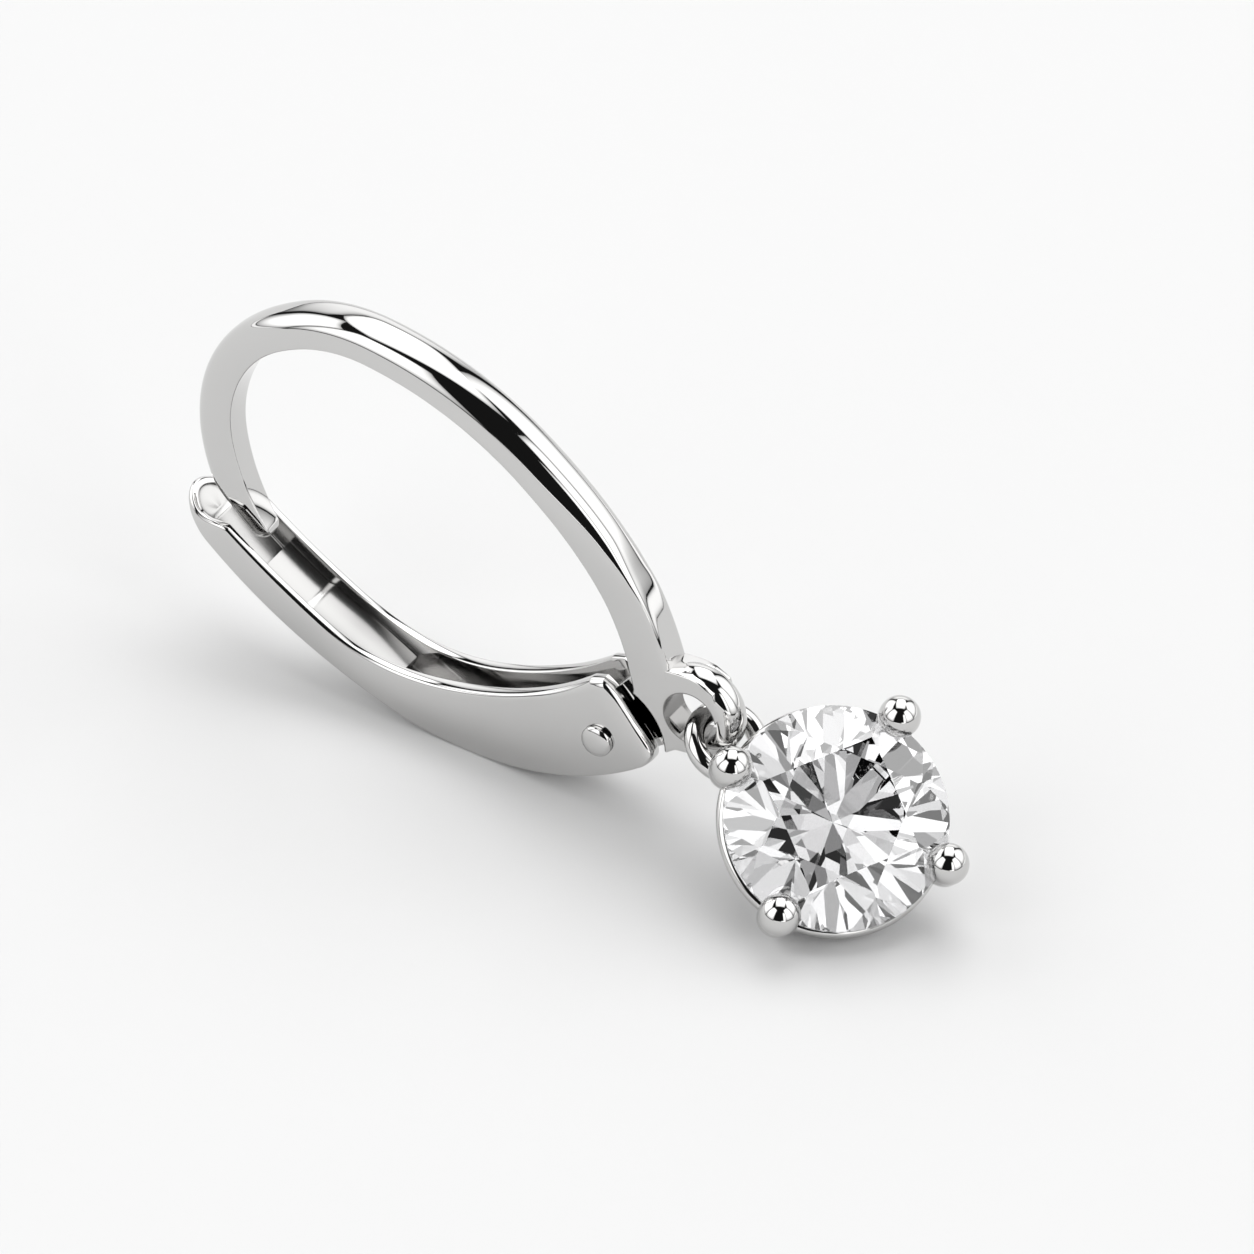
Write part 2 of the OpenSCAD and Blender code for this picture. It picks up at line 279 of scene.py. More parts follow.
def cleanMesh(mesh, merge=0.0):
    work = bmesh.new()
    work.from_mesh(mesh)
    if merge:
        bmesh.ops.remove_doubles(work, verts=work.verts, dist=merge)
        bmesh.ops.dissolve_degenerate(work, edges=work.edges, dist=merge)
    bmesh.ops.recalc_face_normals(work, faces=work.faces)
    work.to_mesh(mesh)
    work.free()


def workMesh(name, work):
    # closes a bmesh and keeps what it holds
    mesh = bpy.data.meshes.new(name)
    work.to_mesh(mesh)
    work.free()
    return mesh


def joinMeshes(name, meshes):
    work = bmesh.new()
    for mesh in meshes:
        work.from_mesh(mesh)
    return workMesh(name, work)


def applyModifiers(thing):
    graph = bpy.context.evaluated_depsgraph_get()
    mesh = bpy.data.meshes.new_from_object(thing.evaluated_get(graph))
    thing.modifiers.clear()
    thing.data = mesh
    return mesh


sliver = 5e-4  # what a cut leaves narrower than this is taken out


def cut(mesh, tools, operation="DIFFERENCE"):
    # one exact Boolean for each tool
    thing = rawObject("cutting", mesh)
    helpers = [rawObject("tool", tool) for tool in tools]
    for helper in helpers:
        modifier = thing.modifiers.new("cut", "BOOLEAN")
        modifier.operation = operation
        modifier.solver = "EXACT"
        modifier.object = helper
    bpy.context.view_layer.update()
    mesh = applyModifiers(thing)
    for helper in helpers + [thing]:
        bpy.data.objects.remove(helper)
    cleanMesh(mesh, sliver)
    return mesh


def finishPiece(name, mesh, material, body, node, matrix=placing, angle=32, weighted=True):
    # brings a mesh in millimetres into the frame, shades it and hands it to the frame's body
    mesh.transform(matrix)
    mesh.materials.clear()
    mesh.materials.append(material)
    for face in mesh.polygons:
        face.use_smooth = True
        face.material_index = 0
    mesh.set_sharp_from_angle(angle=math.radians(angle))
    piece = rawObject(name, mesh)
    if weighted:
        modifier = piece.modifiers.new("flats stay flat", "WEIGHTED_NORMAL")
        modifier.keep_sharp = True
        modifier.weight = 60
    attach(piece, body)
    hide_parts(node)
    return piece


def discMesh(name, radius, half, segments=96, bevel=0.0, centre=(0, 0)):
    # a round plate lying in the X Z plane, with its thickness along Y
    turns = [2 * math.pi * k / segments for k in range(segments)]
    outline = [(radius * math.cos(t) + centre[0], radius * math.sin(t) + centre[1]) for t in turns]
    return plateMesh(name, outline, half, bevel)


def plateMesh(name, outline, half, bevel=0.0, rows=3):
    # a plate in the X Z plane from an outline, with rounded edges
    count = len(outline)
    area = sum(a[0] * b[1] - b[0] * a[1] for a, b in zip(outline, outline[1:] + outline[:1]))
    if area < 0:
        outline = outline[::-1]
    inward = []
    for k in range(count):
        before = Vector(outline[k]) - Vector(outline[k - 1])
        after = Vector(outline[(k + 1) % count]) - Vector(outline[k])
        a = Vector((-before[1], before[0])).normalized()
        b = Vector((-after[1], after[0])).normalized()
        mid = a + b
        inward.append(mid / max(mid.length_squared / 2, 0.35))
    turns = [math.radians(90 * r / rows) for r in range(rows + 1)] if bevel else [0.0]
    levels = [(bevel * (1 - math.cos(t)), half - bevel + bevel * math.sin(t)) for t in turns]
    levels = [(inset, -y) for inset, y in levels[::-1]] + levels
    points = []
    for inset, y in levels:
        for k in range(count):
            q = Vector(outline[k]) + inset * inward[k]
            points.append((q[0], y, q[1]))
    mesh = rawMesh(name, points, tubeFaces(len(levels), count, capped=True))
    cleanMesh(mesh)
    return mesh


def spinMesh(name, profile, centre, segments=96, closed=True):
    # a profile of [radius, y] points spun about the Y axis through a centre in the X Z plane
    points, size = [], len(profile)
    for i in range(segments):
        a = 2 * math.pi * i / segments
        for r, y in profile:
            points.append((centre[0] + r * math.cos(a), y, centre[1] + r * math.sin(a)))
    faces = tubeFaces(segments, size, closed=True)
    if not closed:
        faces = [f for k, f in enumerate(faces) if k % size != size - 1]
    mesh = rawMesh(name, points, faces)
    cleanMesh(mesh, 1e-5)
    return mesh


# ear hook
hook = {
    "start": (0.356, 2.166), "heading": 43.28,
    "arcs": [(10.488, 69.51), (4.007, 108.35), (6.973, 26.4)],  # radius and turn in degrees
    # distance along the inner line, half width, depth of the flat side, height of the dome,
    # and the dome's squareness
    "table": [
        (0.35, 0.534, 1.1, 0.24, 5), (1.5, 0.536, 1.08, 0.25, 5), (2.5, 0.552, 1.0, 0.3, 5.5),
        (3.3, 0.6, 0.82, 0.43, 3.8), (4.5, 0.692, 0.56, 0.66, 2.4), (7, 0.812, 0.27, 0.8, 2.1),
        (10, 0.814, 0.25, 0.78, 2.3), (13, 0.812, 0.21, 0.74, 2.7), (15, 0.806, 0.26, 0.69, 3),
        (17, 0.607, 0.54, 0.58, 2.4), (19.5, 0.462, 0.77, 0.43, 2), (21.5, 0.4, 0.85, 0.38, 2),
        (22.5, 0.372, 0.6, 0.3, 2), (23.51, 0.32, 0.36, 0.2, 2.4)],
    "bevel": 0.07, "stations": 260, "domeSteps": 36, "tipRound": 0.3, "tipSteps": 10,
}
foot = {
    "outline": [(0.3, 2.1), (0.98, 2.72), (0.7, 3.05), (0.2, 3.42), (-0.28, 3.8), (-0.6, 4.02),
                (-0.9, 4.15), (-1.41, 4.2), (-2.05, 3.7), (-2.05, 1.8), (-1.75, 1.55),
                (-1.62, 1.2), (0, 1.5)],
    "half": 0.532, "clear": 1.93, "clearRound": 0.13,
    "neck": [(-0.78, 0.1), (0.78, 0.15), (0.62, 2.3), (-1.5, 2.1), (-1.3, 1.5)],
    "neckHalf": 0.37, "knuckle": 0.8, "bore": 0.34,
    "bevel": 0.05, "neckBevel": 0.04,
    "past": 0.003,  # how far the eye's hole is cut past its wall
    "through": 2,  # half length of a tool that cuts right through
}


def limbSection(a, f, d, power, b):
    # half width, depth of the flat side, height of the dome, its squareness and the edge's radius
    low = [(-a + b, 0.0), (a - b, 0.0)]
    corner = [math.radians(t) for t in (22, 45, 68, 90)]
    right = [(a - b + b * math.sin(t), b - b * math.cos(t)) for t in corner]
    steps = hook["domeSteps"]
    dome = []
    for k in range(steps + 1):
        side, up = math.cos(math.pi * k / steps), math.sin(math.pi * k / steps)
        dome.append((math.copysign(a * abs(side) ** (2 / power), side),
                     f + d * max(0.0, up) ** (2 / power)))
    left = [(-q[0], q[1]) for q in right[::-1]]
    return low + right + dome + left


def limbMesh():
    first, last, count = hook["table"][0][0], chainLength(hook["arcs"]), hook["stations"]
    tip, steps = hook["tipRound"], hook["tipSteps"]
    distances = [first + (last - tip - first) * i / count for i in range(count)]
    distances += [last - tip + tip * math.sin(math.radians(90 * k / steps))
                  for k in range(steps + 1)]
    points, size = [], 0
    for s in distances:
        a, f, d, power = (smoothColumn(hook["table"], c, s) for c in (1, 2, 3, 4))
        (x, z), heading = chainPoint(hook, s)
        out = -rightOf(heading)
        shrink = 1.0
        if s > last - tip:
            shrink = max(0.04, math.sqrt(max(0.0, 1 - ((s - last + tip) / tip) ** 2)))
        section = limbSection(a, f, d, power, min(hook["bevel"], a / 2))
        middle = (f + d) / 2
        size = len(section)
        for y, up in section:
            up = middle + (up - middle) * shrink
            points.append((x + out[0] * up, y * shrink, z + out[1] * up))
    mesh = rawMesh("limb", points, tubeFaces(len(distances), size, capped=True))
    cleanMesh(mesh)
    return mesh


def eyeMesh():
    # a round-edged washer with a bevelled hole
    h, hole, outer, crown, b = (eye[key] for key in ("half", "hole", "outer", "crown", "bevel"))
    profile = [(hole, -h + b), (hole + b * 0.3, -h + b * 0.3), (hole + b, -h)]
    profile += [(outer - crown + crown * math.cos(math.radians(t)), h * math.sin(math.radians(t)))
                for t in range(-90, 91, 6)]
    profile += [(hole + b, h), (hole + b * 0.3, h - b * 0.3), (hole, h - b)]
    return spinMesh("eye", profile, eye["centre"], 128)


def buildHook():
    through, edge = foot["through"], foot["neckBevel"]
    footPlate = plateMesh("foot", foot["outline"], foot["half"], foot["bevel"])
    hole = discMesh("hole", eye["hole"] + foot["past"], through, 128, centre=eye["centre"])
    front = cut(eyeMesh(), [footPlate], "UNION")
    soft, half = foot["clearRound"], foot["half"]
    side = [(foot["clear"] + soft * (1 - math.cos(math.radians(15 * k))),
             half - soft + soft * math.sin(math.radians(15 * k))) for k in range(7)]
    side = [(0.001, foot["neckHalf"]), (foot["clear"], foot["neckHalf"])] + side
    side += [(foot["clear"] + soft, through), (0.001, through)]
    swing = [spinMesh("clear", [(r, y * sign) for r, y in side], (0, 0), 160) for sign in (1, -1)]
    front = cut(front, [hole] + swing)  # leaves the cheeks room to swing
    neck = plateMesh("neck", foot["neck"], foot["neckHalf"], edge)
    knuckle = discMesh("knuckle", foot["knuckle"], foot["neckHalf"] - 0.001, 96, edge)
    neck = cut(neck, [knuckle], "UNION")
    neck = cut(neck, [discMesh("bore", foot["bore"], through, 64)])
    return joinMeshes("ear hook", [limbMesh(), front, neck])


hookPiece = finishPiece("ear_hook_fine", buildHook(), metals["hook"], "hook", "ear_hook")
print("hook made", len(hookPiece.data.polygons))


# lever
lever = {
    "back": {"start": (13.3, -5.15), "heading": 192.6,
             "arcs": [(17.2, 21.3), (58.2, 2), (8.41, 57.8), (0.9, 12)]},
    "rim": {"start": (11.7, -4.47), "heading": 184,
            "arcs": [(26.7, 8.4), (6.28, 36.6), (9.12, 33)]},
    "lip": [(13.32, -4.98), (12.75, -5.0), (12.35, -4.86), (12.0, -4.62)], "lipBack": 1.62,
    "hingeEnd": [(1.16, 1.75), (0.9, 1.76), (0.56, 1.73), (0.25, 1.65), (-0.15, 1.53),
                 (-0.47, 1.42), (-0.93, 1.28), (-1.2, 1.19), (-1.42, 1.06), (-1.52, 0.85),
                 (-1.48, 0.6)],
    "rows": {"lip": 26, "channel": 150, "hinge": 60},
    "halfHinge": 0.88, "halfEnd": 1.07, "widenFrom": 2.5, "widenTo": 7.0,
    "roundFrom": 11.8, "roundLen": 1.5,
    "cheek": 0.46, "wall": 0.28, "backThick": 0.3, "channelStop": 1.15,
    # the cheeks' ends: where their rounding grows, and by how much in height and width
    "endFrom": 1.2, "endMore": (0.1, 0.15),
    "openFillet": (0.025, 0.12),  # at the channel's stop, and its growth for each millimetre
    "edge": (0.17, 0.1), "innerEdge": 0.05, "belly": 0.06, "fillet": 0.08,
    "scoop": {"steps": 30, "edge": 0.13, "down": 0.12, "innerEdge": 0.08, "bowl": (0.74, 0.9)},
    "arc": [math.radians(t) for t in (0, 22.5, 45, 67.5, 90)],
    "bowlArc": [math.radians(9 * k) for k in range(11)],
    "plate": {"from": 3.15, "step": 4.85, "to": 8.2, "low": 0.34, "high": 0.42, "slope": 0.12,
              "bevel": 0.07, "sunk": 0.1, "gap": 0.02, "rows": 60},
}


def halfWidth(x, inset=0.0, hingeInset=0.0):
    t = min(1.0, max(0.0, (x - lever["widenFrom"]) / (lever["widenTo"] - lever["widenFrom"])))
    t = t * t * (3 - 2 * t)
    half = (lever["halfHinge"] - hingeInset) * (1 - t) + (lever["halfEnd"] - inset) * t
    over = (x - lever["roundFrom"]) / (lever["roundLen"] - inset)
    if over > 0:
        half = (lever["halfEnd"] - inset) * math.sqrt(max(0.0, 1 - over * over))
    return half


def walk(points, count, ease=False):
    # evenly spaced points along a polyline
    lengths = [0.0]
    for a, b in zip(points, points[1:]):
        lengths.append(lengths[-1] + (Vector(b) - Vector(a)).length)
    found = []
    for i in range(count + 1):
        t = i / count
        if ease:
            t = 1 - math.cos(t * math.pi / 2)
        want, k = t * lengths[-1], 0
        while k < len(points) - 2 and lengths[k + 1] < want:
            k += 1
        share = (want - lengths[k]) / max(1e-9, lengths[k + 1] - lengths[k])
        found.append(Vector(points[k]).lerp(Vector(points[k + 1]), share))
    return found


def roundedLine(points, rounds=2):
    # softens the corners of a polyline, keeping its ends
    for _ in range(rounds):
        soft = [Vector(points[0])]
        for a, b in zip(points, points[1:]):
            a, b = Vector(a), Vector(b)
            soft += [a.lerp(b, 0.25), a.lerp(b, 0.75)]
        soft.append(Vector(points[-1]))
        points = soft
    return points


def leverLines():
    # pairs of points on the back and on the rim, from the free end to the hinge end
    back, rim, rows = lever["back"], lever["rim"], lever["rows"]
    backLength, rimLength = chainLength(back["arcs"]), chainLength(rim["arcs"])
    rimLine = [chainPoint(rim, rimLength * k / 120)[0] for k in range(121)]
    corner, tries = rimLine[-1], 1000

    def slant(k):
        # how far the corner lies from square across the back, in the half towards the hinge
        place, heading = chainPoint(back, backLength * k / tries)
        across = rightOf(heading)
        return abs((place - corner).dot(Vector((-across[1], across[0])))) + (1e3 * (k < tries / 2))
    cornerAt = backLength * min(range(tries), key=slant) / tries

    def backLine(a, b, count=160):
        return [chainPoint(back, a + (b - a) * k / count)[0] for k in range(count + 1)]
    lipLine = roundedLine(lever["lip"] + [tuple(rimLine[0])])
    pairs = list(zip(walk(backLine(0, lever["lipBack"]), rows["lip"], True),
                     walk(lipLine, rows["lip"], True)))
    pairs += list(zip(walk(backLine(lever["lipBack"], cornerAt), rows["channel"]),
                      walk(rimLine, rows["channel"])))[1:]
    pairs += list(zip(walk(backLine(cornerAt, backLength), rows["hinge"]),
                      walk(roundedLine(lever["hingeEnd"]), rows["hinge"])))[1:]
    return pairs


def lineHeight(line, x):
    # the height of a line over the free end, where it runs steadily in X
    for a, b in zip(line, line[1:]):
        if min(a[0], b[0]) <= x <= max(a[0], b[0]):
            return a[1] + (b[1] - a[1]) * (x - a[0]) / (b[0] - a[0] or 1)
    return line[0][1] if x > line[0][0] else line[-1][1]


def endSections():
    # sections round the scooped free end: each is a list of (x, y, z)
    backLine = [chainPoint(lever["back"], 3.2 * k / 80)[0] for k in range(81)]
    rimLine = [tuple(chainPoint(lever["rim"], 2 * k / 20)[0]) for k in range(21)]
    rimLine = roundedLine(lever["lip"] + rimLine)
    end, sections = lever["scoop"], []
    for k in range(end["steps"]):
        turn = math.radians(90 * (1 - k / end["steps"]))
        share = math.sin(turn)
        wall = lever["wall"]

        def plan(inset):
            return (lever["roundFrom"] + (lever["roundLen"] - inset) * math.sin(turn),
                    (lever["halfEnd"] - inset) * math.cos(turn))
        edge = lever["edge"][1] + (end["edge"] - lever["edge"][1]) * share
        down = lever["edge"][0] + (end["down"] - lever["edge"][0]) * share
        small = lever["innerEdge"] + (end["innerEdge"] - lever["innerEdge"]) * share
        across, deep = (lever["fillet"] + (size - lever["fillet"]) * share for size in end["bowl"])
        outX = plan(0)[0]
        low, high = lineHeight(backLine, outX), lineHeight(rimLine, outX)
        belly = min(lever["belly"], (high - low) * 0.3)
        down = min(down, (high - low - belly) * 0.9)
        inX = plan(wall)[0]
        floor = lineHeight(backLine, inX) + min(lever["backThick"], (high - low) * 0.5)
        rise = max(0.02, high - small - floor)
        deep = min(deep, rise * 0.98)
        section = [(*plan(wall + across), lineHeight(backLine, plan(wall + across)[0]))]
        for t in lever["arc"]:
            x, y = plan(belly - belly * math.sin(t))
            section.append((x, y, low + belly - belly * math.cos(t)))
        for t in lever["arc"]:
            x, y = plan(edge - edge * math.cos(t))
            section.append((x, y, high - down + down * math.sin(t)))
        for t in lever["arc"][::2]:
            x, y = plan(wall - small + small * math.sin(t))
            section.append((x, y, high - small + small * math.cos(t)))
        for t in lever["bowlArc"]:
            x, y = plan(wall + across - across * math.cos(t))
            section.append((x, y, floor + deep - deep * math.sin(t)))
        sections.append(section)
    return sections


def channelStop():
    # where the channel's floor ends and the two cheeks part
    length = chainLength(lever["back"]["arcs"]) - lever["channelStop"]
    return chainPoint(lever["back"], length)[0]


def channelSections():
    # sections along the channel, across the lines from back to rim
    sections, openFrom = [], channelStop()[0]
    for low, high in leverLines():
        if low[0] > lever["roundFrom"] - 0.02:
            continue
        span = (high - low).length
        up = (high - low) / max(span, 1e-6)
        middle = (low[0] + high[0]) / 2
        out, inner = halfWidth(middle), halfWidth(middle, lever["wall"], lever["cheek"])
        belly, small = min(lever["belly"], span * 0.3), min(lever["innerEdge"], span * 0.1)
        down, edge = min(lever["edge"][0], span * 0.35), lever["edge"][1]
        more = min(1.0, max(0.0, (lever["endFrom"] - middle) / lever["endFrom"]))
        down, edge = (size + most * more for size, most in zip((down, edge), lever["endMore"]))
        fillet, floor = min(lever["fillet"], span * 0.2), min(lever["backThick"], span * 0.4)
        # the parted cheeks clear the knuckle's neck
        least, growth = lever["openFillet"]
        fillet = min(fillet, least + growth * max(0.0, low[0] - openFrom))
        side = [(inner - fillet, 0.0)]
        side += [(out - belly + belly * math.sin(a), belly - belly * math.cos(a))
                 for a in lever["arc"]]
        side += [(out - edge + edge * math.cos(a), span - down + down * math.sin(a))
                 for a in lever["arc"]]
        side += [(inner + small - small * math.sin(a), span - small + small * math.cos(a))
                 for a in lever["arc"][::2]]
        side += [(inner - fillet + fillet * math.cos(a), floor + fillet - fillet * math.sin(a))
                 for a in lever["bowlArc"]]
        sections.append([(low[0] + up[0] * rise, y, low[1] + up[1] * rise) for y, rise in side])
    return sections


def buildLever():
    stopAt, sections = channelStop(), endSections() + channelSections()
    size, rows = len(sections[0]), len(sections)
    stop = min(range(rows), key=lambda k: (Vector(sections[k][0]).xz - stopAt).length)
    points = [(x, y * sign, z) for sign in (1, -1) for section in sections for x, y, z in section]
    half, faces = rows * size, []
    for base in (0, half):
        for i in range(rows - 1):
            for j in range(size if i >= stop else size - 1):
                a, b = base + i * size + j, base + i * size + (j + 1) % size
                faces.append((a, b, b + size, a + size))
        faces.append(tuple(base + (rows - 1) * size + j for j in range(size)))
    for i in range(stop):
        for j in (0, size - 1):
            a, b = i * size + j, half + i * size + j
            faces.append((a, b, b + size, a + size))
    a, b = stop * size, half + stop * size
    faces.append((a, b, b + size - 1, a + size - 1))
    mesh = rawMesh("lever", points, faces)
    inner = 1 + 2 * len(lever["arc"]) + 3
    reach = mesh.attributes.new("inside", "FLOAT", "POINT")
    reach.data.foreach_set("value", [float(k % size >= inner) for k in range(len(points))])
    cleanMesh(mesh, 2e-5)
    return mesh


def raisedPlate():
    # the spring plate on the floor of the channel
    plate, points = lever["plate"], []
    count = plate["rows"]
    for i in range(count + 1):
        s = plate["from"] + (plate["to"] - plate["from"]) * i / count
        (x, z), heading = chainPoint(lever["back"], s)
        up = rightOf(heading)
        half = halfWidth(x, lever["wall"], lever["cheek"]) - plate["gap"]
        share = min(1.0, max(0.0, (s - plate["step"]) / plate["slope"]))
        low, b = lever["backThick"] - plate["sunk"], plate["bevel"]
        high = lever["backThick"] + plate["low"] + (plate["high"] - plate["low"]) * share
        soft = b * 0.3
        for y, rise in ((-half, low), (half, low), (half, high - b), (half - soft, high - soft),
                        (half - b, high), (b - half, high), (soft - half, high - soft),
                        (-half, high - b)):
            points.append((x + up[0] * rise, y, z + up[1] * rise))
    mesh = rawMesh("plate", points, tubeFaces(count + 1, 8, capped=True))
    reach = mesh.attributes.new("inside", "FLOAT", "POINT")
    reach.data.foreach_set("value", [1.0] * len(points))
    cleanMesh(mesh)
    return mesh


leverPiece = finishPiece("lever_fine", joinMeshes("lever", [buildLever(), raisedPlate()]),
                         metals["lever"], "lever", "lever")
print("lever made", len(leverPiece.data.polygons))


# hinge pin
pin = {"shank": 0.3, "head": 0.485, "seat": 0.9, "straight": 0.066, "dome": 0.164,
       "roundness": 0.75, "steps": 12, "around": 72}


def buildPin():
    top, steps = pin["seat"] + pin["straight"], pin["steps"]
    profile = [(pin["shank"], 0.0), (pin["shank"], pin["seat"]), (pin["head"], pin["seat"]),
               (pin["head"], top)]
    for k in range(steps + 1):
        t = math.radians(90 * k / steps)
        profile.append((pin["head"] * math.cos(t) ** pin["roundness"] if k < steps else 0.0,
                        top + pin["dome"] * math.sin(t)))
    profile = [(r, -y) for r, y in profile[::-1]] + profile[1:]
    return spinMesh("pin", profile, (0, 0), pin["around"], closed=False)


finishPiece("hinge_pin_fine", buildPin(), metals["pin"], "lever", "hinge_pin")
print("pin made")


# geometry nodes
def startTree(name, numbers, objects=()):
    # a tree with its inputs named: geometry, sizes, objects and the material
    tree = bpy.data.node_groups.new(name, "GeometryNodeTree")
    tree.interface.new_socket("Geometry", in_out="INPUT", socket_type="NodeSocketGeometry")
    for label, value in numbers.items():
        kind = "NodeSocketInt" if isinstance(value, int) else "NodeSocketFloat"
        tree.interface.new_socket(label, in_out="INPUT", socket_type=kind)
    for label in objects:
        tree.interface.new_socket(label, in_out="INPUT", socket_type="NodeSocketObject")
    tree.interface.new_socket("Material", in_out="INPUT", socket_type="NodeSocketMaterial")
    tree.interface.new_socket("Geometry", in_out="OUTPUT", socket_type="NodeSocketGeometry")
    nodes = Nodes(tree)
    return tree, nodes, nodes.add("NodeGroupInput").outputs


def endTree(nodes, inputs, geometry):
    real = nodes.add("GeometryNodeRealizeInstances", None, Geometry=geometry)
    smooth = nodes.add("GeometryNodeSetShadeSmooth", None, Geometry=real.outputs[0])
    painted = nodes.add("GeometryNodeSetMaterial", None, Geometry=smooth.outputs[0],
                        Material=inputs["Material"])
    nodes.add("NodeGroupOutput", None, Geometry=painted.outputs[0])


def growMesh(name, source, tree, values):
    # runs a tree on a source mesh and keeps the plain result
    thing = rawObject(name, source)
    modifier = thing.modifiers.new("grow", "NODES")
    modifier.node_group = tree
    for item in tree.interface.items_tree:
        if item.in_out == "INPUT" and item.name in values:
            modifier[item.identifier] = values[item.name]
    bpy.context.view_layer.update()
    mesh = applyModifiers(thing)
    bpy.data.objects.remove(thing)
    return mesh


def wireRing(nodes, radius, wire, lift, across=24, around=128):
    # a flat ring of round wire at a height
    circle, profile = (nodes.add("GeometryNodeCurvePrimitiveCircle", {"mode": "RADIUS"},
                                 Resolution=count, Radius=size).outputs[0]
                       for count, size in ((around, radius), (across, wire)))
    tube = nodes.add("GeometryNodeCurveToMesh", None, Curve=circle, Profile_Curve=profile)
    height = nodes.add("ShaderNodeCombineXYZ", None, Z=lift)
    return nodes.add("GeometryNodeTransform", None, Geometry=tube.outputs[0],
                     Translation=height.outputs[0]).outputs[0]


# jump ring
ring = {"centre": (-2.61, 0.03, 2.77), "tilt": -13, "Radius": 0.98, "Wire": 0.3,
        "across": 40, "around": 160}


def buildRing():
    sizes = {key: ring[key] for key in ("Radius", "Wire")}
    tree, nodes, inputs = startTree("ring of wire", sizes)
    endTree(nodes, inputs, wireRing(nodes, inputs["Radius"], inputs["Wire"], 0.0,
                                    ring["across"], ring["around"]))
    seed = rawMesh("seed", [(0, 0, 0)], [])
    return growMesh("ring", seed, tree, dict(sizes, Material=metals["ring"]))


ringPiece = finishPiece("jump_ring_fine", buildRing(), metals["ring"], "hook", "jump_ring",
                        hung(ring), weighted=False, angle=80)
print("ring made", len(ringPiece.data.polygons))


# setting
setting = {
    "angles": (21.5, 103.3, 201.5, 283.3),
    "ball": {"radius": 0.61, "out": 3.37, "up": 0.56, "fine": 5},
    # the prong's spine below its ball: distance from the axis, height, radius of the wire there
    "prong": [(3.37, 0.56, 0.5), (3.37, 0.1, 0.57), (3.33, -0.2, 0.54), (3.26, -0.5, 0.46),
              (3.1, -0.8, 0.43), (2.94, -1.0, 0.37), (2.6, -1.2, 0.27), (2.28, -1.4, 0.23),
              (1.9, -1.72, 0.23), (1.47, -2.17, 0.23)],
    "around": 32, "fine": 5,
    "sizes": {"Rail Radius": 3.13, "Rail Wire": 0.22, "Rail Height": -0.6,
              "Base Radius": 1.45, "Base Wire": 0.27, "Base Height": -2.2,
              "Bail Radius": 0.52, "Bail Wire": 0.15},
    "bail": {"angle": 6, "out": 2.76, "height": -1.36, "across": 20, "around": 64},
}


def smoothSpine(rows, fine):
    # a spline through table rows of numbers
    found = []
    for k in range(len(rows) - 1):
        four = (rows[max(k - 1, 0)], rows[k], rows[k + 1], rows[min(k + 2, len(rows) - 1)])
        for i in range(fine):
            t = i / fine
            found.append([0.5 * (2 * q + (r - p) * t + (2 * p - 5 * q + 4 * r - s) * t * t
                                 + (3 * q - p - 3 * r + s) * t ** 3) for p, q, r, s in zip(*four)])
    return found + [list(rows[-1])]


def prongMesh():
    around, rows = setting["around"], smoothSpine(setting["prong"], setting["fine"])
    ball, points = setting["ball"], []
    for k, (out, up, radius) in enumerate(rows):
        ahead, behind = rows[min(k + 1, len(rows) - 1)], rows[max(k - 1, 0)]
        along = Vector((ahead[0] - behind[0], 0, ahead[1] - behind[1])).normalized()
        side = Vector((0, 1, 0))
        other = along.cross(side)
        for j in range(around):
            a = 2 * math.pi * j / around
            spoke = radius * (math.cos(a) * side + math.sin(a) * other)
            points.append(Vector((out, 0, up)) + spoke)
    leg = rawMesh("leg", points, tubeFaces(len(rows), around, capped=True))
    cleanMesh(leg)
    work = bmesh.new()
    bmesh.ops.create_icosphere(work, subdivisions=ball["fine"], radius=ball["radius"],
                               matrix=Matrix.Translation((ball["out"], 0, ball["up"])))
    return joinMeshes("prong", [leg, workMesh("ball", work)])


